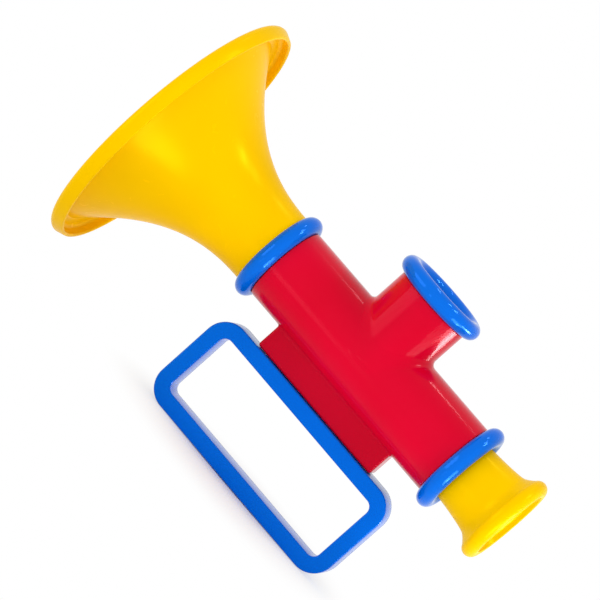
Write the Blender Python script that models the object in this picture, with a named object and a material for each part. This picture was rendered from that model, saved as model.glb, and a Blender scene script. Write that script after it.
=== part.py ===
"""A toddler's toy trumpet: a flared bell, a T-shaped body with a loop handle, a mouthpiece and a reed.

Units are metres and +Z is up. The origin is the middle of the handle's foot, straight below the tone hole.
+X runs along the tube towards the mouthpiece, and the XZ plane is the plane of symmetry.
"""

import math

import bmesh
import bpy
from mathutils import Matrix, Vector

MM = 0.001

# Fits between neighbouring pieces
GAP = 0.3 * MM

# Tube, and where its joints are
TUBE_RADIUS = 16.35 * MM
TUBE_BORE = 13.1 * MM
JOINT_SPACING = 102.3 * MM
AXIS_HEIGHT = 68.5 * MM

# Rings, all of one round section
RING_SECTION = 3.45 * MM
RING_OUTER = 20.0 * MM
RING_CENTRE = RING_OUTER - RING_SECTION
RING_SEAT = RING_SECTION + GAP

# Branch with the tone hole
BRANCH_RADIUS = 15.95 * MM
BRANCH_BORE = 12.7 * MM
BRANCH_RING_HEIGHT = 35.25 * MM
BRANCH_RING_CENTRE = 16.15 * MM
BRANCH_SLEEVE_LENGTH = 9.0 * MM
SLEEVE_WALL = 1.9 * MM

# Spigots of the bell and the mouthpiece, which pass through the rings into the tube
SPIGOT_RADIUS = RING_CENTRE - RING_SECTION - GAP
SPIGOT_BORE = 10.6 * MM
SPIGOT_LENGTH = 13.0 * MM

# Bell: its outer radius grows with a power of the distance from the neck
BELL_LENGTH = 64.4 * MM
BELL_NECK_RADIUS = 16.6 * MM
BELL_MOUTH_RADIUS = 51.5 * MM
BELL_FLARE_POWER = 2.33
BELL_WALL = 2.0 * MM
BELL_THROAT_LENGTH = 8.0 * MM
BELL_FLARE_STEPS = 12

# Rim of the bell: a lip that folds back into a short skirt
RIM_RADIUS = 56.2 * MM
RIM_REAR_RADIUS = 55.1 * MM
RIM_DEPTH = 6.2 * MM
RIM_WALL = 1.6 * MM
RIM_ROUND = 2.4 * MM
RIM_LAND = 1.2 * MM

# Mouthpiece, measured from the middle of its ring
MOUTHPIECE_NECK_RADIUS = 13.15 * MM
MOUTHPIECE_WAIST_RADIUS = 14.6 * MM
MOUTHPIECE_WAIST_AT = 17.0 * MM
MOUTHPIECE_LIP_RADIUS = 19.45 * MM
MOUTHPIECE_LIP_ROUND = 3.2 * MM
MOUTHPIECE_LIP_AT = 24.55 * MM
MOUTHPIECE_CUP_DEPTH = 6.0 * MM

# Fin under the tube, with the socket for the handle
FIN_LENGTH = 62.8 * MM
FIN_THICKNESS = 10.0 * MM
FIN_BOTTOM = 26.4 * MM
FIN_ROUND = 1.0 * MM
SOCKET_LENGTH = 54.0 * MM
SOCKET_WIDTH = 5.0 * MM
SOCKET_DEPTH = 9.3 * MM

# Loop handle
HANDLE_LENGTH = 95.6 * MM
HANDLE_HEIGHT = AXIS_HEIGHT - FIN_BOTTOM - GAP
HANDLE_THICKNESS = 13.0 * MM
HANDLE_BAR = 6.3 * MM
HANDLE_CORNER = 9.5 * MM
HANDLE_SLOT_CORNER = 3.2 * MM
HANDLE_EDGE = 0.6 * MM

# Reed holder: a plug with a flange, a sleeve and a trough that the reed plate covers
HOLDER_SLEEVE_LENGTH = 10.0 * MM
HOLDER_SLEEVE_BORE = 8.3 * MM
HOLDER_FLANGE_RADIUS = 12.4 * MM
HOLDER_FLANGE = 2.0 * MM
TROUGH_LENGTH = 19.5 * MM
TROUGH_WIDTH = 10.0 * MM
TROUGH_TOP = 1.0 * MM
TROUGH_HEIGHT = 6.0 * MM
CHANNEL_WIDTH = 4.8 * MM
CHANNEL_DEPTH = 4.2 * MM
CHANNEL_END_WALL = 2.0 * MM

# Reed, measured from the flange towards the bell
PLATE_THICKNESS = 1.0 * MM
REED_SLOT_START = 5.0 * MM
REED_SLOT_LENGTH = 11.6 * MM
REED_SLOT_WIDTH = 3.2 * MM
TONGUE_THICKNESS = 0.4 * MM
TONGUE_WIDTH = REED_SLOT_WIDTH - 2 * GAP
TONGUE_TIP_GAP = 0.4 * MM
TONGUE_ROOT_START = 1.6 * MM
TONGUE_ROOT_WIDTH = 3.6 * MM
RIVET_AT = 3.2 * MM
RIVET_RADIUS = 0.7 * MM
RIVET_HEAD_RADIUS = 1.5 * MM
RIVET_HEAD = 0.7 * MM
SCREW_RADIUS = 0.6 * MM
SCREW_HEAD_RADIUS = 1.2 * MM
SCREW_HEAD = 0.8 * MM
SCREW_LENGTH = 5.0 * MM
SCREW_SIDE = 3.7 * MM
SCREW_INSET = 2.0 * MM

# Facets
BELL_SEGMENTS = 56
RING_SEGMENTS = 40
RING_STEPS = 12
TUBE_SEGMENTS = 56
SMALL_SEGMENTS = 12
SMOOTH_ANGLE = math.radians(35)

# Places that follow from the sizes above
BELL_JOINT = Vector((-JOINT_SPACING / 2, 0, AXIS_HEIGHT))
MOUTH_JOINT = Vector((JOINT_SPACING / 2, 0, AXIS_HEIGHT))
BRANCH_RING_AT = Vector((0, 0, AXIS_HEIGHT + BRANCH_RING_HEIGHT))
TUBE_LENGTH = JOINT_SPACING - 2 * RING_SEAT
FLANGE_BACK = MOUTH_JOINT.x - SPIGOT_LENGTH - GAP
FLANGE_FACE = FLANGE_BACK - HOLDER_FLANGE
TROUGH_TOP_HEIGHT = AXIS_HEIGHT + TROUGH_TOP
PLATE_BOTTOM = TROUGH_TOP_HEIGHT + GAP
PLATE_TOP = PLATE_BOTTOM + PLATE_THICKNESS
TONGUE_BOTTOM = PLATE_TOP + GAP
TONGUE_TOP = TONGUE_BOTTOM + TONGUE_THICKNESS
REED_HINGE = Vector((FLANGE_FACE - RIVET_AT, 0, (TONGUE_BOTTOM + TONGUE_TOP) / 2))

# A turned profile's own axis is Z: this turns it to lie along the tube
ALONG_TUBE = (0, math.pi / 2, 0)


def clear_scene():
    for obj in list(bpy.data.objects):
        bpy.data.objects.remove(obj)


def finish_of(name, colour, roughness, metallic=0.0):
    """A Principled material with an sRGB colour from 0 to 255."""
    material = bpy.data.materials.new(name)
    material.use_nodes = True
    shader = material.node_tree.nodes["Principled BSDF"]
    linear = [(c / 255) ** 2.2 for c in colour]
    shader.inputs["Base Color"].default_value = (*linear, 1.0)
    shader.inputs["Roughness"].default_value = roughness
    shader.inputs["Metallic"].default_value = metallic
    return material


def object_of(name, mesh, material, location=(0, 0, 0), rotation=(0, 0, 0)):
    if material:
        mesh.materials.append(material)
    obj = bpy.data.objects.new(name, mesh)
    obj.location = location
    obj.rotation_euler = rotation
    bpy.context.scene.collection.objects.link(obj)
    return obj


def mesh_of(name, shape):
    """The mesh of a bmesh, with its faces turned out and its round faces shaded smooth."""
    bmesh.ops.recalc_face_normals(shape, faces=shape.faces)
    mesh = bpy.data.meshes.new(name)
    shape.to_mesh(mesh)
    shape.free()
    mesh.shade_smooth()
    mesh.set_sharp_from_angle(angle=SMOOTH_ANGLE)
    return mesh


def turned(name, profile, material, segments, location, rotation=(0, 0, 0)):
    """A closed profile of (radius, height) points, outer side first from top to bottom, turned about Z."""
    mesh = bpy.data.meshes.new(name)
    points = [(radius, 0, height) for radius, height in profile]
    edges = [(i, (i + 1) % len(points)) for i in range(len(points))]
    mesh.from_pydata(points, edges, [])
    obj = object_of(name, mesh, material, location, rotation)
    screw = obj.modifiers.new("Turn", "SCREW")
    screw.angle = 2 * math.pi
    screw.steps = screw.render_steps = segments
    screw.use_merge_vertices = True
    screw.merge_threshold = 0.00001
    screw.use_smooth_shade = True
    return obj


def arc(centre, radius, start, end, steps):
    """Points of an arc in (radius, height), angles in degrees from outwards to up."""
    angles = [math.radians(start + (end - start) * i / steps) for i in range(steps + 1)]
    return [(centre[0] + radius * math.cos(a), centre[1] + radius * math.sin(a)) for a in angles]


def rod(name, radius, bottom, top, segments):
    """A solid cylinder about Z from bottom to top, as a mesh."""
    shape = bmesh.new()
    middle = Matrix.Translation((0, 0, (bottom + top) / 2))
    bmesh.ops.create_cone(
        shape,
        cap_ends=True,
        segments=segments,
        radius1=radius,
        radius2=radius,
        depth=top - bottom,
        matrix=middle,
    )
    return mesh_of(name, shape)


def block(name, low, high, edge=0.0):
    """A box between two corners, with its edges rounded by this much."""
    shape = bmesh.new()
    size = Vector(high) - Vector(low)
    place = Matrix.Translation((Vector(low) + Vector(high)) / 2) @ Matrix.Diagonal((*size, 1))
    bmesh.ops.create_cube(shape, size=1, matrix=place)
    if edge:
        bmesh.ops.bevel(
            shape, geom=shape.edges[:], offset=edge, segments=2, profile=0.5, affect="EDGES"
        )
    return mesh_of(name, shape)


def combine(obj, mesh, operation, location=(0, 0, 0), rotation=(0, 0, 0)):
    """Adds a hidden helper to obj, or cuts it out of obj, with a Boolean."""
    helper = object_of(f"{obj.name}_{mesh.name}", mesh, None, location, rotation)
    helper.hide_render = True
    helper.display_type = "WIRE"
    boolean = obj.modifiers.new(mesh.name, "BOOLEAN")
    boolean.operation = operation
    boolean.object = helper
    boolean.solver = "EXACT"


def rounded_rectangle(width, height, radius, steps):
    """Corner arcs of a rectangle centred on the origin, counter-clockwise."""
    points = []
    for turn, (sx, sz) in enumerate([(1, 1), (-1, 1), (-1, -1), (1, -1)]):
        centre = (sx * (width / 2 - radius), sz * (height / 2 - radius))
        points += arc(centre, radius, 90 * turn, 90 * turn + 90, steps)
    return points


def flare(distance):
    """The bell's outer (radius, height) at this distance from its neck towards the mouth."""
    length = BELL_LENGTH - RING_SEAT
    growth = (distance / length) ** BELL_FLARE_POWER
    radius = BELL_NECK_RADIUS + (BELL_MOUTH_RADIUS - BELL_NECK_RADIUS) * growth
    return radius, -RING_SEAT - distance


def flare_inside(distance):
    """The point one wall thickness inside flare(distance), square to the surface."""
    step = 0.01 * MM
    before, after = flare(distance), flare(distance + step)
    along = Vector((after[0] - before[0], after[1] - before[1])).normalized()
    return before[0] + along.y * BELL_WALL, before[1] - along.x * BELL_WALL


def bell_profile():
    mouth = -BELL_LENGTH
    rear = mouth + RIM_DEPTH
    flare_end = BELL_LENGTH - RING_SEAT - 2 * MM
    distances = [flare_end * i / BELL_FLARE_STEPS for i in range(BELL_FLARE_STEPS + 1)]
    outer = [(SPIGOT_RADIUS, SPIGOT_LENGTH), (SPIGOT_RADIUS, -RING_SEAT)]
    outer += [flare(d) for d in distances]
    skirt = [
        (RIM_RADIUS - 1.5 * RIM_WALL, mouth + RIM_ROUND),
        (RIM_REAR_RADIUS - RIM_WALL, rear),
        (RIM_REAR_RADIUS, rear),
        (RIM_RADIUS - 0.3 * MM, (rear + mouth + RIM_ROUND) / 2),
    ]
    front = arc((RIM_RADIUS - RIM_ROUND, mouth + RIM_ROUND), RIM_ROUND, 0, -90, 5)
    land = [(RIM_RADIUS - RIM_ROUND - RIM_LAND, mouth)]
    inner = [flare_inside(d) for d in reversed(distances) if d > BELL_THROAT_LENGTH]
    inner = [point for point in inner if point[1] > mouth + 0.5 * MM]
    throat = [(SPIGOT_BORE, -RING_SEAT - BELL_WALL), (SPIGOT_BORE, SPIGOT_LENGTH)]
    return outer + skirt + front + land + inner + throat


def make_bell(material):
    turned("bell", bell_profile(), material, BELL_SEGMENTS, BELL_JOINT, ALONG_TUBE)


def make_rings(material):
    round_section = arc((RING_CENTRE, 0), RING_SECTION, 90, -270, RING_STEPS)[:-1]
    for name, place in (("bell_ring", BELL_JOINT), ("mouthpiece_ring", MOUTH_JOINT)):
        turned(name, round_section, material, RING_SEGMENTS, place, ALONG_TUBE)
    make_branch_ring(material)


def make_branch_ring(material):
    """A ring like the others, with a sleeve that plugs into the branch."""
    sleeve = BRANCH_BORE - GAP
    bead = arc((BRANCH_RING_CENTRE, 0), RING_SECTION, 180, -90, RING_STEPS)
    foot = -BRANCH_SLEEVE_LENGTH
    tail = [(sleeve, -RING_SECTION), (sleeve, foot), (sleeve - SLEEVE_WALL, foot)]
    profile = bead + tail + [(sleeve - SLEEVE_WALL, -RING_SECTION)]
    turned("branch_ring", profile, material, RING_SEGMENTS, BRANCH_RING_AT)


def mouthpiece_profile():
    lip_centre = (MOUTHPIECE_LIP_RADIUS - MOUTHPIECE_LIP_ROUND, MOUTHPIECE_LIP_AT)
    lip = arc(lip_centre, MOUTHPIECE_LIP_ROUND, 110, -65, 9)
    waist = (MOUTHPIECE_WAIST_RADIUS, MOUTHPIECE_WAIST_AT)
    hollow = [((lip[-1][0] + waist[0]) / 2 - 0.6 * MM, (lip[-1][1] + waist[1]) / 2)]
    neck = [
        waist,
        ((waist[0] + MOUTHPIECE_NECK_RADIUS) / 2 - 0.2 * MM, (waist[1] + RING_SEAT) / 2),
        (MOUTHPIECE_NECK_RADIUS, RING_SEAT),
        (SPIGOT_RADIUS, RING_SEAT - 2 * MM),
        (SPIGOT_RADIUS, -SPIGOT_LENGTH),
    ]
    rim = lip[0][1]
    cup = arc(
        (lip[0][0], rim - MOUTHPIECE_CUP_DEPTH), lip[0][0] - SPIGOT_BORE, 180, 100, 4
    )
    bore = [(SPIGOT_BORE, -SPIGOT_LENGTH)]
    return lip + hollow + neck + bore + cup


def make_mouthpiece(material):
    turned("mouthpiece", mouthpiece_profile(), material, RING_SEGMENTS, MOUTH_JOINT, ALONG_TUBE)


def make_body(material):
    half = TUBE_LENGTH / 2
    past = 5 * MM
    axis = (0, 0, AXIS_HEIGHT)
    tube = rod("tube", TUBE_RADIUS, -half, half, TUBE_SEGMENTS)
    body = object_of("body", tube, material, axis, ALONG_TUBE)
    branch_top = BRANCH_RING_HEIGHT - RING_SEAT
    combine(body, rod("branch", BRANCH_RADIUS, 0, branch_top, TUBE_SEGMENTS), "UNION", axis)
    fin_low = (-FIN_LENGTH / 2, -FIN_THICKNESS / 2, -FIN_BOTTOM)
    fin_high = (FIN_LENGTH / 2, FIN_THICKNESS / 2, -TUBE_BORE)
    combine(body, block("fin", fin_low, fin_high, FIN_ROUND), "UNION", axis)
    bore = rod("bore", TUBE_BORE, -half - past, half + past, TUBE_SEGMENTS)
    combine(body, bore, "DIFFERENCE", axis, ALONG_TUBE)
    tone_hole = rod("tone_hole", BRANCH_BORE, 0, branch_top + past, TUBE_SEGMENTS)
    combine(body, tone_hole, "DIFFERENCE", axis)
    socket_low = (-SOCKET_LENGTH / 2, -SOCKET_WIDTH / 2, -FIN_BOTTOM - past)
    socket_high = (SOCKET_LENGTH / 2, SOCKET_WIDTH / 2, -FIN_BOTTOM + SOCKET_DEPTH)
    combine(body, block("socket", socket_low, socket_high), "DIFFERENCE", axis)


def loop_mesh(name, outer, inner, thickness):
    """A flat loop between two outlines in XZ with the same number of points."""
    shape = bmesh.new()
    sides = []
    for y in (-thickness / 2, thickness / 2):
        sides.append([[shape.verts.new((x, y, z)) for x, z in line] for line in (outer, inner)])
    (front_outer, front_inner), (back_outer, back_inner) = sides
    for one, other in (
        (front_outer, front_inner),
        (front_inner, back_inner),
        (back_inner, back_outer),
        (back_outer, front_outer),
    ):
        for i in range(len(one)):
            j = (i + 1) % len(one)
            shape.faces.new((one[i], one[j], other[j], other[i]))
    return mesh_of(name, shape)


def make_handle(material):
    outer = rounded_rectangle(HANDLE_LENGTH, HANDLE_HEIGHT, HANDLE_CORNER, 6)
    slot_size = (HANDLE_LENGTH - 2 * HANDLE_BAR, HANDLE_HEIGHT - 2 * HANDLE_BAR)
    inner = rounded_rectangle(*slot_size, HANDLE_SLOT_CORNER, 6)
    middle = (0, 0, HANDLE_HEIGHT / 2)
    handle = object_of("handle", loop_mesh("loop", outer, inner, HANDLE_THICKNESS), material, middle)
    edges = handle.modifiers.new("Edges", "BEVEL")
    edges.width = HANDLE_EDGE
    edges.segments = 2
    edges.limit_method = "ANGLE"
    edges.angle_limit = math.radians(60)
    tongue_low = (-SOCKET_LENGTH / 2 + GAP, -SOCKET_WIDTH / 2 + GAP, HANDLE_HEIGHT - HANDLE_BAR / 2)
    tongue_high = (SOCKET_LENGTH / 2 - GAP, SOCKET_WIDTH / 2 - GAP, HANDLE_HEIGHT + SOCKET_DEPTH - GAP)
    combine(handle, block("tongue", tongue_low, tongue_high), "UNION")


def make_reed_holder(material):
    sleeve = SPIGOT_BORE - GAP
    plug = rod("plug", sleeve, FLANGE_FACE, FLANGE_BACK + HOLDER_SLEEVE_LENGTH, TUBE_SEGMENTS // 2)
    axis = (0, 0, AXIS_HEIGHT)
    holder = object_of("reed_holder", plug, material, axis, ALONG_TUBE)
    flange = rod("flange", HOLDER_FLANGE_RADIUS, FLANGE_FACE, FLANGE_BACK, TUBE_SEGMENTS // 2)
    combine(holder, flange, "UNION", axis, ALONG_TUBE)
    end = FLANGE_FACE - TROUGH_LENGTH
    trough_low = (end, -TROUGH_WIDTH / 2, TROUGH_TOP - TROUGH_HEIGHT)
    trough_high = (FLANGE_FACE + HOLDER_FLANGE / 2, TROUGH_WIDTH / 2, TROUGH_TOP)
    combine(holder, block("trough", trough_low, trough_high), "UNION", axis)
    inside = FLANGE_BACK + GAP
    past = HOLDER_SLEEVE_LENGTH + 2 * MM
    hollow = rod("hollow", HOLDER_SLEEVE_BORE, inside, inside + past, TUBE_SEGMENTS // 2)
    combine(holder, hollow, "DIFFERENCE", axis, ALONG_TUBE)
    channel_low = (end + CHANNEL_END_WALL, -CHANNEL_WIDTH / 2, TROUGH_TOP - CHANNEL_DEPTH)
    channel_high = (FLANGE_FACE, CHANNEL_WIDTH / 2, TROUGH_TOP + MM)
    combine(holder, block("channel", channel_low, channel_high), "DIFFERENCE", axis)
    window_low = (FLANGE_FACE - MM, -CHANNEL_WIDTH / 2 + GAP, TROUGH_TOP - CHANNEL_DEPTH + GAP)
    window_high = (inside + MM, CHANNEL_WIDTH / 2 - GAP, TROUGH_TOP - GAP)
    combine(holder, block("window", window_low, window_high), "DIFFERENCE", axis)
    for index, place in enumerate(screw_places()):
        hole = rod(f"screw_hole_{index}", SCREW_RADIUS + GAP, -SCREW_LENGTH, MM, SMALL_SEGMENTS)
        combine(holder, hole, "DIFFERENCE", (place.x, place.y, TROUGH_TOP_HEIGHT))


def screw_places():
    """The two screws stand at opposite corners of the reed plate."""
    rear = Vector((FLANGE_FACE - SCREW_INSET, SCREW_SIDE, PLATE_TOP))
    front = Vector((FLANGE_FACE - TROUGH_LENGTH + SCREW_INSET, -SCREW_SIDE, PLATE_TOP))
    return front, rear


def make_reed_plate(material):
    low = (FLANGE_FACE - TROUGH_LENGTH, -TROUGH_WIDTH / 2, PLATE_BOTTOM)
    high = (FLANGE_FACE - GAP, TROUGH_WIDTH / 2, PLATE_TOP)
    plate = object_of("reed_plate", block("blank", low, high), material)
    slot_end = FLANGE_FACE - REED_SLOT_START
    slot_low = (slot_end - REED_SLOT_LENGTH, -REED_SLOT_WIDTH / 2, PLATE_BOTTOM - MM)
    slot_high = (slot_end, REED_SLOT_WIDTH / 2, PLATE_TOP + MM)
    combine(plate, block("slot", slot_low, slot_high), "DIFFERENCE")
    reach = PLATE_THICKNESS + MM
    holes = [(place, SCREW_RADIUS) for place in screw_places()]
    holes.append((Vector((REED_HINGE.x, 0, PLATE_TOP)), RIVET_RADIUS))
    for index, (place, radius) in enumerate(holes):
        hole = rod(f"hole_{index}", radius + GAP, -reach, MM, SMALL_SEGMENTS)
        combine(plate, hole, "DIFFERENCE", place)


def make_reed_tongue(material):
    """The tongue's own origin is its hinge, at the rivet."""
    root_low = (-(REED_SLOT_START - RIVET_AT), -TONGUE_ROOT_WIDTH / 2, -TONGUE_THICKNESS / 2)
    root_high = (RIVET_AT - TONGUE_ROOT_START, TONGUE_ROOT_WIDTH / 2, TONGUE_THICKNESS / 2)
    tongue = object_of("reed_tongue", block("root", root_low, root_high), material, REED_HINGE)
    tip = REED_SLOT_START + REED_SLOT_LENGTH - TONGUE_TIP_GAP - RIVET_AT
    blade_low = (-tip, -TONGUE_WIDTH / 2, -TONGUE_THICKNESS / 2)
    blade_high = (-GAP, TONGUE_WIDTH / 2, TONGUE_THICKNESS / 2)
    combine(tongue, block("blade", blade_low, blade_high), "UNION", REED_HINGE)
    hole = rod("rivet_hole", RIVET_RADIUS + GAP, -MM, MM, SMALL_SEGMENTS)
    combine(tongue, hole, "DIFFERENCE", REED_HINGE)


def make_reed_rivet(material):
    """A shank with a head over the tongue and one under the plate."""
    under = PLATE_BOTTOM - GAP
    over = TONGUE_TOP + GAP
    top = over + RIVET_HEAD
    bottom = under - RIVET_HEAD
    profile = [
        (0.6 * RIVET_HEAD_RADIUS, top),
        (RIVET_HEAD_RADIUS, over + 0.3 * RIVET_HEAD),
        (RIVET_HEAD_RADIUS, over),
        (RIVET_RADIUS, over),
        (RIVET_RADIUS, under),
        (RIVET_HEAD_RADIUS, under),
        (RIVET_HEAD_RADIUS, bottom),
    ]
    solid_of_revolution("reed_rivet", profile, material, (REED_HINGE.x, 0, 0))


def solid_of_revolution(name, profile, material, location):
    """A small solid turned about Z, closed by flat caps at its first and last point."""
    shape = bmesh.new()
    rows = []
    for radius, height in profile:
        angles = [2 * math.pi * i / SMALL_SEGMENTS for i in range(SMALL_SEGMENTS)]
        rows.append(
            [shape.verts.new((radius * math.cos(a), radius * math.sin(a), height)) for a in angles]
        )
    for upper, lower in zip(rows, rows[1:]):
        for i in range(SMALL_SEGMENTS):
            j = (i + 1) % SMALL_SEGMENTS
            shape.faces.new((upper[i], lower[i], lower[j], upper[j]))
    shape.faces.new(rows[0])
    shape.faces.new(reversed(rows[-1]))
    object_of(name, mesh_of(name, shape), material, location)


def make_plate_screws(material):
    seat = GAP
    profile = [
        (0.55 * SCREW_HEAD_RADIUS, seat + SCREW_HEAD),
        (SCREW_HEAD_RADIUS, seat + 0.4 * SCREW_HEAD),
        (SCREW_HEAD_RADIUS, seat),
        (SCREW_RADIUS, seat),
        (SCREW_RADIUS, -SCREW_LENGTH + MM),
        (0.3 * SCREW_RADIUS, -SCREW_LENGTH),
    ]
    for name, place in zip(("plate_screw_front", "plate_screw_rear"), screw_places()):
        solid_of_revolution(name, profile, material, place)


def main():
    clear_scene()
    yellow = finish_of("yellow_plastic", (254, 205, 2), 0.25)
    red = finish_of("red_plastic", (212, 2, 41), 0.25)
    ring_blue = finish_of("ring_blue_plastic", (14, 114, 225), 0.2)
    handle_blue = finish_of("handle_blue_plastic", (8, 103, 212), 0.35)
    white = finish_of("white_plastic", (232, 230, 224), 0.45)
    brass = finish_of("brass", (196, 160, 82), 0.3, 1.0)
    steel = finish_of("steel", (176, 178, 182), 0.3, 1.0)
    make_bell(yellow)
    make_rings(ring_blue)
    make_body(red)
    make_mouthpiece(yellow)
    make_handle(handle_blue)
    make_reed_holder(white)
    make_reed_plate(brass)
    make_reed_tongue(brass)
    make_reed_rivet(brass)
    make_plate_screws(steel)


main()
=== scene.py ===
"""Looks of a toddler's toy trumpet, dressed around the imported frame.

Sizes are metres in the frame's own axes: +X runs along the tube towards the mouthpiece, +Z up the
branch, and the origin is the middle of the handle's foot.
"""

import logging
import math
from abc import ABC, abstractmethod
from collections.abc import Iterator
from contextlib import contextmanager
from dataclasses import dataclass
from enum import Enum
from functools import cache

import bmesh
import bpy
import numpy as np
from mathutils import Matrix, Vector


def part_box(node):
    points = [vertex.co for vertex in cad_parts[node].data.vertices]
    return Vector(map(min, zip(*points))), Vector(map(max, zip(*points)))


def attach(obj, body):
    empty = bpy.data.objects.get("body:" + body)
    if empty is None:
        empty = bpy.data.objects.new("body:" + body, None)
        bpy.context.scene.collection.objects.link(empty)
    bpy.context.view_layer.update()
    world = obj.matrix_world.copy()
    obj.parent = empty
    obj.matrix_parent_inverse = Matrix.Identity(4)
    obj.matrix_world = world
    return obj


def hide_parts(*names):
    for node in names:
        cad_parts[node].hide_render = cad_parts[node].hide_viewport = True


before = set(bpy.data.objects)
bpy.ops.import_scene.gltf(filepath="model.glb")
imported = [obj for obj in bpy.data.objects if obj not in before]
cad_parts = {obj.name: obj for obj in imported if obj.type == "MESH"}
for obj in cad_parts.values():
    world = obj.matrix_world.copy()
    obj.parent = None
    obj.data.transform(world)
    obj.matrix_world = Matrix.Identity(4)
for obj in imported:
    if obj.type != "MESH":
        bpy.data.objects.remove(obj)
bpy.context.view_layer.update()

LOG = logging.getLogger("toy_trumpet")

# Kinds of value
Colour = tuple[float, float, float]
Trio = tuple[float, float, float]
Point = tuple[float, float]
Socket = bpy.types.NodeSocket
Value = float | int | tuple | str | bool | Socket | bpy.types.ID
Inputs = dict[int | str, Value]

# Sizes and places that several pieces share
MM = 0.001
TOUCH = 0.02 * MM
WELD = 0.001 * MM
CRISP_ANGLE = math.radians(38)
AXIS_HEIGHT = 68.5 * MM
BELL_JOINT = (-51.15 * MM, 0.0, AXIS_HEIGHT)
MOUTH_JOINT = (51.15 * MM, 0.0, AXIS_HEIGHT)
ALONG_TUBE = (0.0, math.pi / 2, 0.0)
UPRIGHT = (0.0, 0.0, 0.0)
RING_SECTION = 3.45 * MM
RING_SEAT = RING_SECTION + TOUCH
SPIGOT_RADIUS = 12.8 * MM
SPIGOT_BORE = 10.6 * MM
SPIGOT_LENGTH = 13.0 * MM
SPIGOT_EDGE = 0.5 * MM


class Carrier(Enum):
    """The bodies of the frame that pieces ride on."""

    TRUMPET = "trumpet"
    REED = "reed"


class Slot(Enum):
    """The record's material slots."""

    YELLOW = "yellow_plastic"
    RED = "red_plastic"
    RING_BLUE = "ring_blue_plastic"
    HANDLE_BLUE = "handle_blue_plastic"
    WHITE = "white_plastic"
    BRASS = "brass"
    STEEL = "steel"


class NodeWriter:
    """Adds nodes to a tree and wires them."""

    def __init__(self, tree: bpy.types.NodeTree) -> None:
        """Keeps the tree that nodes go into.

        Args:
            tree: a shader or geometry node tree.
        """
        self.tree = tree

    def add(self, kind: str, inputs: Inputs, **settings: Value) -> bpy.types.Node:
        """Adds one node.

        Args:
            kind: the node's type name.
            inputs: a socket or a plain value for each input, by name or index.
            settings: the node's own properties.

        Returns:
            The new node.
        """
        node = self.tree.nodes.new(kind)
        for name, value in settings.items():
            setattr(node, name, value)
        self.fill(node, inputs)
        return node

    def out(self, kind: str, inputs: Inputs, **settings: Value) -> Socket:
        """Adds one node and returns its first output."""
        return self.add(kind, inputs, **settings).outputs[0]

    def fill(self, node: bpy.types.Node, inputs: Inputs) -> None:
        """Sets or wires a node's inputs.

        Args:
            node: the node.
            inputs: a socket or a plain value for each input, by name or index.
        """
        for key, value in inputs.items():
            if isinstance(value, Socket):
                self.tree.links.new(value, node.inputs[key])
            else:
                node.inputs[key].default_value = value

    def math(self, operation: str, *terms: Value) -> Socket:
        """Adds a Math node.

        Args:
            operation: the node's operation.
            terms: sockets or numbers, in the node's order.

        Returns:
            The node's output.
        """
        return self.out("ShaderNodeMath", dict(enumerate(terms)), operation=operation)

    def ranged(self, value: Socket, span: Point, start: Value, end: Value) -> Socket:
        """Maps a value from one range to another and holds it there.

        Args:
            value: the value.
            span: the range that it comes in.
            start: what the range's first end becomes.
            end: what its last end becomes.

        Returns:
            The mapped value.
        """
        return self.out("ShaderNodeMapRange", {0: value, 1: span[0], 2: span[1], 3: start, 4: end})

    def noise(self, where: Socket, scale: float, detail: float, distortion: float = 0.0) -> Socket:
        """Adds a Noise texture.

        Args:
            where: the place that it is read at.
            scale: the number of its cells in a metre.
            detail: the number of its octaves.
            distortion: how far the cells are bent.

        Returns:
            The noise.
        """
        inputs = {"Vector": where, "Scale": scale, "Detail": detail, "Distortion": distortion}
        return self.out("ShaderNodeTexNoise", inputs)


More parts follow.
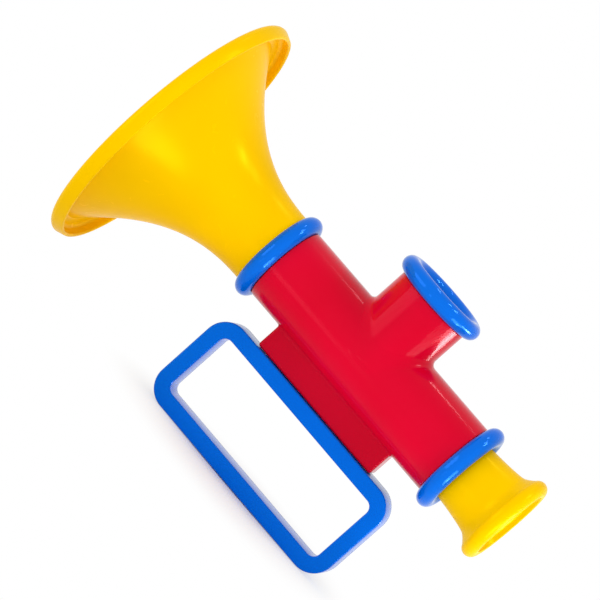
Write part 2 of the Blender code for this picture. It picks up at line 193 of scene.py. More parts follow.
class TreeWriter(NodeWriter):
    """Writes a geometry tree with named inputs that ends in Realize Instances and Set Material."""

    def __init__(self, name: str) -> None:
        """Makes an empty tree with a geometry input, a finish input and a geometry output.

        Args:
            name: the tree's name.
        """
        super().__init__(bpy.data.node_groups.new(name, "GeometryNodeTree"))
        self.identifiers: dict[str, str] = {}
        self.given = self.tree.nodes.new("NodeGroupInput")
        self.result = self.tree.nodes.new("NodeGroupOutput")
        self.tree.interface.new_socket("Geometry", in_out="OUTPUT", socket_type="NodeSocketGeometry")
        self.geometry = self.named("Geometry", "Geometry")
        self.finish = self.named("Finish", "Material")

    def named(self, name: str, kind: str) -> Socket:
        """Adds a named input to the tree.

        Args:
            name: the input's name.
            kind: Float, Int, Vector, Material or Geometry.

        Returns:
            The socket that gives the input's value inside the tree.
        """
        made = self.tree.interface.new_socket(name, in_out="INPUT", socket_type=f"NodeSocket{kind}")
        self.identifiers[name] = made.identifier
        return self.given.outputs[name]

    def close(self, shape: Socket) -> None:
        """Ends the tree.

        Args:
            shape: the geometry that the tree puts out.
        """
        real = self.out("GeometryNodeRealizeInstances", {"Geometry": shape})
        dressed = self.out("GeometryNodeSetMaterial", {"Geometry": real, "Material": self.finish})
        self.fill(self.result, {0: dressed})

    def placed(self, shape: Socket) -> Socket:
        """Turns and moves a shape by the tree's Turn and Place inputs.

        Args:
            shape: the geometry to move.

        Returns:
            The moved geometry.
        """
        moves = {"Rotation": self.named("Turn", "Vector"), "Translation": self.named("Place", "Vector")}
        return self.out("GeometryNodeTransform", {"Geometry": shape, **moves})

    def turned(self, profile: Socket) -> Socket:
        """Turns a closed line of (radius, 0, height) points about Z, in Segments steps.

        Args:
            profile: the line, as a mesh of points in order.

        Returns:
            The closed skin.
        """
        segments = self.named("Segments", "Int")
        count = self.out("GeometryNodeAttributeDomainSize", {"Geometry": profile}, component="MESH")
        grid = self.out(
            "GeometryNodeMeshGrid",
            {
                "Size X": 1.0,
                "Size Y": 1.0,
                "Vertices X": self.math("ADD", count, 1.0),
                "Vertices Y": self.math("ADD", segments, 1.0),
            },
        )
        place = self.out("GeometryNodeInputPosition", {})
        across = self.add("ShaderNodeSeparateXYZ", {0: place})
        step = self.math("ROUND", self.math("MULTIPLY", self.math("ADD", across.outputs[0], 0.5), count))
        angle = self.math("MULTIPLY", self.math("ADD", across.outputs[1], 0.5), 2 * math.pi)
        wanted = {"Geometry": profile, "Value": place, "Index": self.math("FLOORED_MODULO", step, count)}
        sample = self.out("GeometryNodeSampleIndex", wanted, data_type="FLOAT_VECTOR")
        point = self.add("ShaderNodeSeparateXYZ", {0: sample})
        radius, height = point.outputs[0], point.outputs[2]
        spun = self.out(
            "ShaderNodeCombineXYZ",
            {
                0: self.math("MULTIPLY", radius, self.math("COSINE", angle)),
                1: self.math("MULTIPLY", radius, self.math("SINE", angle)),
                2: height,
            },
        )
        skin = self.out("GeometryNodeSetPosition", {"Geometry": grid, "Position": spun})
        return self.out("GeometryNodeMergeByDistance", {"Geometry": skin, "Distance": WELD})


@dataclass(frozen=True)
class Finish(ABC):
    """A finish that drifts between two tones and reads the piece's own coordinates."""

    name: str
    colour: Colour
    deep: Colour
    roughness: float

    @cache
    def material(self) -> bpy.types.Material:
        """Builds the node material, once for all the pieces that wear it.

        Returns:
            The material.
        """
        material = bpy.data.materials.new(self.name)
        material.use_nodes = True
        write = NodeWriter(material.node_tree)
        where = write.add("ShaderNodeTexCoord", {}).outputs["Object"]
        write.fill(material.node_tree.nodes["Principled BSDF"], self.surface(write, where))
        return material

    @abstractmethod
    def surface(self, write: NodeWriter, where: Socket) -> dict[str, Value]:
        """Lays the finish's own nodes.

        Args:
            write: the writer of the material's tree.
            where: the place on the piece.

        Returns:
            A socket or a plain value for each of the shader's inputs.
        """

    def toned(self, write: NodeWriter, share: Socket) -> Socket:
        """Mixes the two tones.

        Args:
            write: the writer of the material's tree.
            share: the deep tone's share.

        Returns:
            The mixed colour.
        """
        tones = {0: share, 6: (*self.colour, 1.0), 7: (*self.deep, 1.0)}
        return write.add("ShaderNodeMix", tones, data_type="RGBA").outputs[2]


@dataclass(frozen=True)
class MouldedPlastic(Finish):
    """A coloured plastic from a polished mould: slow colour drift, faint scuffs, orange peel and painted
    shade where the piece's mask asks for it.
    """

    tint: Colour
    lustre: float
    specular: float = 0.12
    peel: float = 0.12
    peel_scale: float = 650.0
    peel_depth: float = 0.02 * MM
    # Colour factor of the painted shade where the piece's shade mask is one; 1.0 paints none.
    painted_shade: float = 1.0
    drift_scale: float = 26.0
    drift_span: Point = (0.35, 0.68)
    scuff: float = 0.03
    scuff_scale: float = 210.0
    scuff_span: Point = (0.4, 0.75)

    def surface(self, write: NodeWriter, where: Socket) -> dict[str, Value]:
        """Lays the plastic's nodes, with the colour darkened as painted shade where the piece's own shade
        mask is one.

        Args:
            write: the writer of the material's tree.
            where: the place on the piece.

        Returns:
            A socket or a plain value for each of the shader's inputs.
        """
        drift = write.noise(where, self.drift_scale, detail=2.0)
        mixed = self.toned(write, write.ranged(drift, self.drift_span, 0.0, 1.0))
        # Painted shade: the colour is multiplied down where the piece's shade mask is one.
        painted_shade_mask = write.add("ShaderNodeAttribute", {}, attribute_name="painted_shade_mask").outputs["Fac"]
        painted_shade_factor = write.ranged(painted_shade_mask, (0.0, 1.0), 1.0, self.painted_shade)
        colour = write.out("ShaderNodeVectorMath", {0: mixed, 1: painted_shade_factor}, operation="MULTIPLY")
        scuff = write.noise(where, self.scuff_scale, detail=6.0, distortion=1.2)
        peel = write.noise(where, self.peel_scale, detail=1.0)
        relief = {"Strength": self.peel, "Distance": self.peel_depth, "Height": peel}
        return {
            "Base Color": colour,
            "Roughness": write.ranged(scuff, self.scuff_span, self.roughness, self.roughness + self.scuff),
            "Normal": write.out("ShaderNodeBump", relief),
            "Specular IOR Level": self.specular,
            "Specular Tint": (*self.tint, 1.0),
            "Metallic": self.lustre,
        }


@dataclass(frozen=True)
class SheetMetal(Finish):
    """A rolled or plated metal with fine lines along the tube and cloudy tarnish, its deep tone."""

    cloud_scale: float = 240.0
    cloud_span: Point = (0.45, 0.8)
    cloud_share: float = 0.8
    line_stretch: Trio = (120.0, 5200.0, 5200.0)
    line_span: Point = (0.3, 0.7)
    line_roughness: float = 0.18
    line_bump: float = 0.3
    line_depth: float = 0.01 * MM

    def surface(self, write: NodeWriter, where: Socket) -> dict[str, Value]:
        """Lays the metal's nodes.

        Args:
            write: the writer of the material's tree.
            where: the place on the piece.

        Returns:
            A socket or a plain value for each of the shader's inputs.
        """
        cloud = write.noise(where, self.cloud_scale, detail=4.0)
        stretch = write.out("ShaderNodeMapping", {"Vector": where, "Scale": self.line_stretch})
        lines = write.noise(stretch, 1.0, detail=3.0)
        rough = self.roughness + self.line_roughness
        relief = {"Strength": self.line_bump, "Distance": self.line_depth, "Height": lines}
        return {
            "Base Color": self.toned(write, write.ranged(cloud, self.cloud_span, 0.0, self.cloud_share)),
            "Roughness": write.ranged(lines, self.line_span, self.roughness, rough),
            "Normal": write.out("ShaderNodeBump", relief),
            "Metallic": 1.0,
        }


YELLOW = MouldedPlastic(
    "bell_yellow", (0.97, 0.578, 0.0), (0.94, 0.546, 0.0), 0.25, (1.0, 0.9, 0.1), lustre=0.06,
    specular=0.02, peel=0.05,
)
# The red paints shade on the fin: its colour falls to 0.76 of itself where the body's shade mask is one.
RED = MouldedPlastic(
    "tube_red", (0.68, 0.0, 0.024), (0.62, 0.0, 0.018), 0.12, (1.0, 0.25, 0.33), lustre=0.0,
    specular=0.2, peel=0.05, painted_shade=0.76,
)
RING_BLUE = MouldedPlastic(
    "ring_blue", (0.0, 0.147, 0.73), (0.0, 0.132, 0.68), 0.06, (0.7, 0.9, 1.0), lustre=0.15, peel=0.03,
)
HANDLE_BLUE = MouldedPlastic(
    "handle_blue", (0.0, 0.13, 0.68), (0.0, 0.12, 0.63), 0.15, (0.05, 0.25, 1.0), lustre=0.0,
    specular=0.5, peel=0.15,
)
WHITE = MouldedPlastic(
    "holder_white", (0.8, 0.78, 0.73), (0.74, 0.72, 0.66), 0.45, (1.0, 1.0, 1.0), lustre=0.0,
    specular=0.4, peel=0.5, peel_scale=900.0,
)
BRASS = SheetMetal("reed_brass", (0.62, 0.41, 0.11), (0.42, 0.26, 0.08), 0.22)
STEEL = SheetMetal("screw_steel", (0.55, 0.56, 0.58), (0.42, 0.43, 0.45), 0.28)


def arc(centre: Point, radius: float, start: float, end: float, steps: int) -> list[Point]:
    """Points along an arc.

    Args:
        centre: the arc's middle, as (radius, height).
        radius: the arc's own radius.
        start: the first angle in degrees, from outwards to up.
        end: the last angle in degrees.
        steps: the number of steps.

    Returns:
        The points, first and last included.
    """
    angles = [math.radians(start + (end - start) * i / steps) for i in range(steps + 1)]
    return [(centre[0] + radius * math.cos(a), centre[1] + radius * math.sin(a)) for a in angles]


def flowing(points: list[Point], steps: int) -> list[Point]:
    """A smooth line through the points, with the ends left out.

    Args:
        points: the points that the line passes, the first and last only steering it.
        steps: the number of steps between two points.

    Returns:
        The line from the second point to the last but one.
    """
    line = []
    for before, start, end, after in zip(points, points[1:], points[2:], points[3:]):
        a, b, c, d = (np.array(p) for p in (before, start, end, after))
        for t in np.arange(steps) / steps:
            blend = 2 * b + (c - a) * t + (2 * a - 5 * b + 4 * c - d) * t**2
            blend = blend + (3 * b - a - 3 * c + d) * t**3
            line.append(tuple(blend / 2))
    return line + [points[-2]]


def profile_mesh(name: str, points: list[Point]) -> bpy.types.Mesh:
    """A closed line of points in the XZ plane.

    Args:
        name: the mesh's name.
        points: (radius, height) points in order.

    Returns:
        The line, as a mesh.
    """
    mesh = bpy.data.meshes.new(name)
    edges = [(i, (i + 1) % len(points)) for i in range(len(points))]
    mesh.from_pydata([(radius, 0.0, height) for radius, height in points], edges, [])
    return mesh


def link(name: str, mesh: bpy.types.Mesh) -> bpy.types.Object:
    """Puts a mesh in the scene.

    Args:
        name: the object's name.
        mesh: its mesh.

    Returns:
        The new object, at the origin.
    """
    obj = bpy.data.objects.new(name, mesh)
    bpy.context.scene.collection.objects.link(obj)
    return obj


@contextmanager
def edited(mesh: bpy.types.Mesh) -> Iterator[bmesh.types.BMesh]:
    """Opens a mesh for editing and writes it back.

    Args:
        mesh: the mesh.

    Returns:
        Its shape, to edit.
    """
    shape = bmesh.new()
    shape.from_mesh(mesh)
    yield shape
    shape.to_mesh(mesh)
    shape.free()


def solid_copy(name: str, node: str, flat_angle: float = 0.0) -> bpy.types.Object:
    """Copies a node's own solid as a welded mesh.

    Args:
        name: the new object's name.
        node: the node.
        flat_angle: faces that meet at less than this angle become one, if it isn't zero.

    Returns:
        The new object.
    """
    obj = link(name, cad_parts[node].data.copy())
    with edited(obj.data) as shape:
        bmesh.ops.remove_doubles(shape, verts=shape.verts, dist=WELD)
        if flat_angle:
            bmesh.ops.dissolve_limit(shape, angle_limit=flat_angle, verts=shape.verts, edges=shape.edges)
    return obj


def baked(obj: bpy.types.Object) -> None:
    """Makes what an object's modifiers give its plain mesh.

    Args:
        obj: the object, which loses its modifiers.
    """
    graph = bpy.context.evaluated_depsgraph_get()
    mesh = bpy.data.meshes.new_from_object(obj.evaluated_get(graph))
    obj.modifiers.clear()
    obj.data = mesh


def grown(name: str, seed: bpy.types.Mesh, tree: TreeWriter, values: dict[str, Value]) -> bpy.types.Object:
    """Grows a piece from a seed mesh with a geometry tree.

    Args:
        name: the piece's name.
        seed: the mesh that the tree starts from.
        tree: the tree.
        values: a value for each of the tree's named inputs.

    Returns:
        The piece, as a plain mesh.
    """
    obj = link(name, seed)
    shape = obj.modifiers.new("Shape", "NODES")
    shape.node_group = tree.tree
    for key, value in values.items():
        shape[tree.identifiers[key]] = value
    baked(obj)
    return obj


def smoothed(obj: bpy.types.Object) -> bpy.types.Object:
    """Turns a closed piece's faces outwards and shades it smooth between crisp edges.

    Args:
        obj: the piece.

    Returns:
        The same piece.
    """
    with edited(obj.data) as shape:
        bmesh.ops.recalc_face_normals(shape, faces=shape.faces)
    obj.data.shade_smooth()
    obj.data.set_sharp_from_angle(angle=CRISP_ANGLE)
    return obj


def dress(obj: bpy.types.Object, carrier: Carrier, slot: Slot, *nodes: str) -> None:
    """Ties a finished piece to the frame.

    Args:
        obj: the piece.
        carrier: the body that it rides on.
        slot: the record's slot that its finish comes from; not used.
        nodes: the nodes that it stands for.
    """
    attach(obj, carrier.value)
    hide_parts(*nodes)
    LOG.info("%s: %d faces on %s", obj.name, len(obj.data.polygons), carrier.value)


@cache
def lathe_tree() -> TreeWriter:
    """Writes the tree that turns a profile into a round piece, once for all of them.

    Returns:
        The tree.
    """
    tree = TreeWriter("turned_piece")
    tree.close(tree.placed(tree.turned(tree.geometry)))
    return tree


def lathe(
    name: str, points: list[Point], finish: Finish, segments: int, place: Trio, turn: Trio
) -> bpy.types.Object:
    """Turns a closed profile.

    Args:
        name: the piece's name.
        points: (radius, height) points in order.
        finish: the piece's finish.
        segments: the number of steps round.
        place: where the profile's own origin goes.
        turn: the turn of the profile's own axis, as angles about X, Y and Z.

    Returns:
        The piece, shaded smooth.
    """
    values = {"Finish": finish.material(), "Segments": segments, "Place": place, "Turn": turn}
    return smoothed(grown(name, profile_mesh(name, points), lathe_tree(), values))


@dataclass
class Bell:
    """The flared bell, whose radius grows with a power of the distance from the neck.

    At the mouth a fold turns the flare back into the rim's skirt, and the rim has a flat land in front.
    """

    neck_radius: float = 16.6 * MM
    mouth_radius: float = 51.5 * MM
    length: float = 64.4 * MM
    power: float = 2.33
    wall: float = 2.0 * MM
    throat: float = 8.0 * MM
    rim_radius: float = 56.2 * MM
    rim_rear_radius: float = 55.1 * MM
    rim_depth: float = 6.2 * MM
    rim_wall: float = 1.6 * MM
    rim_round: float = 2.4 * MM
    rim_land: float = 1.2 * MM
    land_round: float = 1.6 * MM
    fold_radius: float = 52.0 * MM
    fold_depth: float = 3.6 * MM
    fold_round: float = 1.6 * MM
    flare_stop: float = 2.0 * MM
    lip_gap: float = 1.5 * MM
    throat_gap: float = 1.0 * MM
    throat_radius: float = 12.2 * MM
    throat_waist: float = 5.0 * MM
    neck_edge: float = 0.6 * MM
    bore_edge: float = 0.4 * MM
    flare_steps: int = 44
    throat_steps: int = 6
    segments: int = 168

    def radius(self, reach: float) -> float:
        """Returns the flare's outer radius at a distance from the ring."""
        share = reach / (self.length - RING_SEAT)
        return self.neck_radius + (self.mouth_radius - self.neck_radius) * share**self.power

    def profile(self) -> tuple[list[Point], list[Trio]]:
        """Lays out the closed profile and says which of its points follow the flare's law.

        Returns:
            The points, those of the flare still at zero, and for each whether it follows the law, its
            distance from the ring and its share of the wall.
        """
        mouth = -self.length
        reach = self.length - RING_SEAT - self.flare_stop
        outer_reach = [reach * i / self.flare_steps for i in range(self.flare_steps + 1)]
        inner_from, inner_to = self.throat + self.throat_gap, reach - self.lip_gap
        inner_reach = [r for r in reversed(outer_reach) if inner_from < r < inner_to]
        spigot = [
            (SPIGOT_RADIUS - SPIGOT_EDGE, SPIGOT_LENGTH),
            (SPIGOT_RADIUS, SPIGOT_LENGTH - SPIGOT_EDGE),
            (SPIGOT_RADIUS, -RING_SEAT),
            (self.neck_radius - self.neck_edge, -RING_SEAT),
        ]
        fold = arc((self.fold_radius, mouth + self.fold_depth), self.fold_round, -120, 0, 8)
        half = self.rim_wall / 2
        skirt = arc((self.rim_rear_radius - half, mouth + self.rim_depth - half), half, 176, 20, 10)
        front_radius = self.rim_radius - self.rim_round
        front = arc((front_radius, mouth + self.rim_round), self.rim_round, 8, -90, 12)
        land = arc((front_radius - self.rim_land, mouth + self.land_round), self.land_round, -90, -128, 5)
        throat = flowing(
            [
                (self.radius(1.5 * self.throat) - self.wall, -RING_SEAT - 1.5 * self.throat),
                (self.radius(self.throat) - self.wall, -RING_SEAT - self.throat),
                (self.throat_radius, -RING_SEAT - self.throat_waist),
                (SPIGOT_BORE, -RING_SEAT - self.wall),
                (SPIGOT_BORE, 2 * MM),
            ],
            self.throat_steps,
        )
        edge = self.bore_edge
        bore = [(SPIGOT_BORE, SPIGOT_LENGTH - edge), (SPIGOT_BORE + edge, SPIGOT_LENGTH)]
        points: list[Point] = []
        laws: list[Trio] = []
        for fixed, flare, inset in (
            (spigot, outer_reach, 0.0),
            (fold + skirt + front + land, inner_reach, 1.0),
            (throat + bore, [], 0.0),
        ):
            points += fixed + [(0.0, 0.0)] * len(flare)
            laws += [(0.0, 0.0, 0.0)] * len(fixed) + [(1.0, r, inset) for r in flare]
        return points, laws

    def tree(self) -> TreeWriter:
        """Writes the tree that lays the flare by its law and turns the profile.

        Returns:
            The tree.
        """
        tree = TreeWriter("flared_bell")
        neck, mouth, length, power, wall = (
            tree.named(name, "Float")
            for name in ("Neck Radius", "Mouth Radius", "Flare Length", "Flare Power", "Wall")
        )
        law, reach, inset = (
            tree.out("GeometryNodeInputNamedAttribute", {"Name": name}, data_type="FLOAT")
            for name in ("law", "reach", "inset")
        )
        growth = tree.math("SUBTRACT", mouth, neck)
        share = tree.math("DIVIDE", reach, length)
        radius = tree.math("MULTIPLY_ADD", growth, tree.math("POWER", share, power), neck)
        steepness = tree.math("DIVIDE", tree.math("MULTIPLY", growth, power), length)
        rise = tree.math("POWER", share, tree.math("SUBTRACT", power, 1.0))
        slope = tree.math("MULTIPLY", steepness, rise)
        slant = tree.math("SQRT", tree.math("MULTIPLY_ADD", slope, slope, 1.0))
        inward = tree.math("DIVIDE", tree.math("MULTIPLY", inset, wall), slant)
        along = tree.math("MULTIPLY_ADD", reach, -1.0, -RING_SEAT)
        height = tree.math("SUBTRACT", along, tree.math("MULTIPLY", inward, slope))
        laid = tree.out("ShaderNodeCombineXYZ", {0: tree.math("SUBTRACT", radius, inward), 2: height})
        chosen = tree.math("GREATER_THAN", law, 0.5)
        flared = tree.out(
            "GeometryNodeSetPosition", {"Geometry": tree.geometry, "Selection": chosen, "Position": laid}
        )
        tree.close(tree.placed(tree.turned(flared)))
        return tree

    def build(self) -> None:
        """Builds the bell."""
        points, laws = self.profile()
        mesh = profile_mesh("bell_profile", points)
        for name, column in zip(("law", "reach", "inset"), zip(*laws)):
            values = np.array(column, np.float32)
            mesh.attributes.new(name, "FLOAT", "POINT").data.foreach_set("value", values)
        values = {
            "Finish": YELLOW.material(),
            "Segments": self.segments,
            "Neck Radius": self.neck_radius,
            "Mouth Radius": self.mouth_radius,
            "Flare Length": self.length - RING_SEAT,
            "Flare Power": self.power,
            "Wall": self.wall,
            "Place": BELL_JOINT,
            "Turn": ALONG_TUBE,
        }
        bell = smoothed(grown("flared_bell", mesh, self.tree(), values))
        dress(bell, Carrier.TRUMPET, Slot.YELLOW, "bell")


@dataclass
class Rings:
    """The three blue rings: two plain ones at the joints and one with a sleeve in the branch."""

    centre: float = 16.55 * MM
    branch_centre: float = 16.15 * MM
    branch_height: float = AXIS_HEIGHT + 35.25 * MM
    sleeve_radius: float = 12.4 * MM
    sleeve_wall: float = 1.9 * MM
    sleeve_length: float = 9.0 * MM
    sleeve_edge: float = 0.4 * MM
    throat_start: float = 1.0 * MM
    throat_step: float = 0.9 * MM
    throat_drop: float = 1.6 * MM
    segments: int = 144
    section_steps: int = 40
    throat_steps: int = 6

    def build(self) -> None:
        """Builds the rings."""
        section = arc((self.centre, 0.0), RING_SECTION, 90, -270, self.section_steps)[:-1]
        for name, node, place in (
            ("bell_joint_ring", "bell_ring", BELL_JOINT),
            ("mouth_joint_ring", "mouthpiece_ring", MOUTH_JOINT),
        ):
            ring = lathe(name, section, RING_BLUE, self.segments, place, ALONG_TUBE)
            dress(ring, Carrier.TRUMPET, Slot.RING_BLUE, node)
        place = (0.0, 0.0, self.branch_height)
        ring = lathe("tone_hole_ring", self.sleeved_section(), RING_BLUE, self.segments, place, UPRIGHT)
        dress(ring, Carrier.TRUMPET, Slot.RING_BLUE, "branch_ring")

    def sleeved_section(self) -> list[Point]:
        """Lays out the branch's ring with its sleeve.

        Returns:
            The closed section.
        """
        bead = arc((self.branch_centre, 0.0), RING_SECTION, 180, -90, self.section_steps)
        bead_inside = self.branch_centre - RING_SECTION
        inside = self.sleeve_radius - self.sleeve_wall
        foot = -self.sleeve_length
        edge = self.sleeve_edge
        sleeve = [
            (self.sleeve_radius, -RING_SECTION),
            (self.sleeve_radius, foot + edge),
            (self.sleeve_radius - edge, foot),
            (inside + edge, foot),
            (inside, foot + edge),
        ]
        throat = flowing(
            [
                (inside, foot + 2 * MM),
                (inside, -RING_SECTION - self.throat_start),
                (inside + self.throat_step, -self.throat_drop),
                (bead_inside, 0.0),
                (bead_inside + 0.1 * MM, 1.0 * MM),
            ],
            self.throat_steps,
        )[:-1]
        return bead + sleeve + throat


@dataclass
class Mouthpiece:
    """The yellow mouthpiece: a spigot, a flared neck and a rounded lip round a shallow cup."""

    neck_radius: float = 13.15 * MM
    waist_radius: float = 14.6 * MM
    waist_at: float = 17.0 * MM
    lip_radius: float = 19.45 * MM
    lip_round: float = 3.2 * MM
    lip_at: float = 24.55 * MM
    cup_depth: float = 6.0 * MM
    flare_hollow: float = 0.55 * MM
    neck_hollow: float = 0.2 * MM
    neck_steps: int = 8
    segments: int = 144

    def profile(self) -> list[Point]:
        """Lays out the closed profile.

        Returns:
            The points, outer side first from the lip to the spigot.
        """
        middle = (self.lip_radius - self.lip_round, self.lip_at)
        lip = arc(middle, self.lip_round, 112, -62, 26)
        back_radius, back = lip[-1]
        flare_middle = (back_radius + self.waist_radius) / 2 - self.flare_hollow
        neck_middle = (self.waist_radius + self.neck_radius) / 2 - self.neck_hollow
        neck = flowing(
            [
                *lip[-2:],
                (flare_middle, (back + self.waist_at) / 2),
                (self.waist_radius, self.waist_at),
                (neck_middle, (self.waist_at + RING_SEAT) / 2),
                (self.neck_radius, RING_SEAT),
                (self.neck_radius - 0.1 * MM, 0.0),
            ],
            self.neck_steps,
        )[1:]
        spigot = [
            (SPIGOT_RADIUS, RING_SEAT - 2 * MM),
            (SPIGOT_RADIUS, SPIGOT_EDGE - SPIGOT_LENGTH),
            (SPIGOT_RADIUS - SPIGOT_EDGE, -SPIGOT_LENGTH),
            (SPIGOT_BORE + SPIGOT_EDGE, -SPIGOT_LENGTH),
            (SPIGOT_BORE, SPIGOT_EDGE - SPIGOT_LENGTH),
        ]
        rim_radius, rim = lip[0]
        cup = arc((rim_radius, rim - self.cup_depth), rim_radius - SPIGOT_BORE, 180, 96, 14)
        return lip + neck + spigot + cup

    def build(self) -> None:
        """Builds the mouthpiece."""
        spout = lathe("blow_mouthpiece", self.profile(), YELLOW, self.segments, MOUTH_JOINT, ALONG_TUBE)
        dress(spout, Carrier.TRUMPET, Slot.YELLOW, "mouthpiece")


@dataclass
class TeeBody:
    """The red tube with its branch and fin, blended where they meet."""

    tube_radius: float = 16.35 * MM
    tube_half: float = 47.75 * MM
    tube_bore: float = 13.1 * MM
    branch_radius: float = 15.95 * MM
    branch_top: float = 31.79 * MM
    branch_bore: float = 12.7 * MM
    fin_half: Trio = (31.4 * MM, 5.0 * MM, 6.65 * MM)
    fin_middle: float = -19.75 * MM
    socket_half: Trio = (27.0 * MM, 2.5 * MM, 7.15 * MM)
    socket_middle: float = -24.25 * MM
    end_round: float = 0.4 * MM
    fin_round: float = 1.0 * MM
    branch_fillet: float = 2.2 * MM
    fin_fillet: float = 0.9 * MM
    socket_round: float = 0.1 * MM
    cut_round: float = 0.4 * MM
    # Painted shade on the fin: from this far below the axis, over this ramp, the red is darkened in place
    # of the tube's shadow.
    painted_shade_from: float = 14.5 * MM
    painted_shade_ramp: float = 1.4 * MM
    voxel: float = 0.62 * MM
    probe: float = 0.01 * MM
    longest_move: float = 0.5 * MM
    least_steepness: float = 0.25
    first_rounds: int = 5
    relax_rounds: int = 6
    between_rounds: int = 2
    last_rounds: int = 4

    @staticmethod
    def box(points: np.ndarray, half: tuple[float, ...], edge: float) -> np.ndarray:
        """Signed distance to a box about the origin with rounded edges.

        A rod is one too, when a point's row is its distance from the axis and its way along it.

        Args:
            points: the points, a row each.
            half: half the box's sides.
            edge: the edges' radius.

        Returns:
            The distances, negative inside.
        """
        sides = np.abs(points) - half + edge
        outside = np.linalg.norm(np.maximum(sides, 0), axis=1)
        return np.minimum(sides.max(1), 0) + outside - edge

    @staticmethod
    def filleted(one: np.ndarray, other: np.ndarray, radius: float) -> np.ndarray:
        """Joins two distance fields with a round fillet.

        Args:
            one: distances to the first shape.
            other: distances to the second shape.
            radius: the fillet's radius.

        Returns:
            The distances to both shapes together.
        """
        corner = np.hypot(np.maximum(radius - one, 0), np.maximum(radius - other, 0))
        return np.maximum(radius, np.minimum(one, other)) - corner

    def distance(self, points: np.ndarray) -> np.ndarray:
        """Signed distance to the finished body.

        Args:
            points: the points in the frame, a row each.

        Returns:
            The distances, negative inside the plastic.
        """
        local = points - (0.0, 0.0, AXIS_HEIGHT)
        x, y, z = local.T
        from_tube = np.hypot(y, z)
        from_branch = np.hypot(x, y)
        tube = self.box(np.column_stack((from_tube, x)), (self.tube_radius, self.tube_half), self.end_round)
        half = self.branch_top / 2
        risen = np.column_stack((from_branch, z - half))
        branch = self.box(risen, (self.branch_radius, half), self.end_round)
        fin = self.box(local - (0.0, 0.0, self.fin_middle), self.fin_half, self.fin_round)
        outside = self.filleted(tube, branch, self.branch_fillet)
        outside = self.filleted(outside, fin, self.fin_fillet)
        hollow = np.minimum(from_tube - self.tube_bore, np.maximum(from_branch - self.branch_bore, -z))
        socket = self.box(local - (0.0, 0.0, self.socket_middle), self.socket_half, self.socket_round)
        return -self.filleted(-outside, np.minimum(hollow, socket), self.cut_round)

    def slope(self, points: np.ndarray) -> np.ndarray:
        """Direction in which the distance grows, which is the surface's normal on the surface.

        Args:
            points: the points, a row each.

        Returns:
            The distance's growth along X, Y and Z, a row each.
        """
        growth = np.empty_like(points)
        for axis, shift in enumerate(self.probe * np.eye(3)):
            growth[:, axis] = self.distance(points + shift) - self.distance(points - shift)
        return growth / (2 * self.probe)

    def settle(self, points: np.ndarray, rounds: int) -> np.ndarray:
        """Moves points onto the body's surface.

        Args:
            points: points near the surface, a row each.
            rounds: the number of steps.

        Returns:
            The moved points.
        """
        for _ in range(rounds):
            slope = self.slope(points)
            steepness = np.maximum((slope**2).sum(1), self.least_steepness)
            move = np.clip(self.distance(points) / steepness, -self.longest_move, self.longest_move)
            points = points - slope * move[:, None]
        return points

    def build(self) -> None:
        """Builds the body from the node's own solid, remeshed finely and settled on the blended shape, with
        a painted-shade mask on the fin.
        """
        body = solid_copy("tee_body", "body")
        remesh = body.modifiers.new("Fine", "REMESH")
        remesh.mode = "VOXEL"
        remesh.voxel_size = self.voxel
        baked(body)
        mesh = body.data
        points = np.empty(len(mesh.vertices) * 3)
        mesh.vertices.foreach_get("co", points)
        points = self.settle(points.reshape(-1, 3), self.first_rounds)
        pairs = np.empty(len(mesh.edges) * 2, np.int32)
        mesh.edges.foreach_get("vertices", pairs)
        pairs = pairs.reshape(-1, 2)
        both = np.concatenate([pairs, pairs[:, ::-1]])
        count = np.bincount(both[:, 0], minlength=len(points))[:, None]
        for _ in range(self.relax_rounds):
            total = np.zeros_like(points)
            np.add.at(total, both[:, 0], points[both[:, 1]])
            points = self.settle(0.5 * points + 0.5 * total / count, self.between_rounds)
        points = self.settle(points, self.last_rounds)
        mesh.vertices.foreach_set("co", points.reshape(-1))
        mesh.update()
        # Painted shade: a mask that rises to one on the fin below the tube, where the tube's shadow falls,
        # darkens the red there.
        painted_shade_share = np.clip((AXIS_HEIGHT - self.painted_shade_from - points[:, 2]) / self.painted_shade_ramp, 0.0, 1.0)
        painted_shade_mask = mesh.attributes.new("painted_shade_mask", "FLOAT", "POINT")
        painted_shade_mask.data.foreach_set("value", painted_shade_share.astype(np.float32))
        mesh.materials.clear()
        mesh.materials.append(RED.material())
        mesh.shade_smooth()
        mesh.normals_split_custom_set_from_vertices(self.slope(points))
        dress(body, Carrier.TRUMPET, Slot.RED, "body")


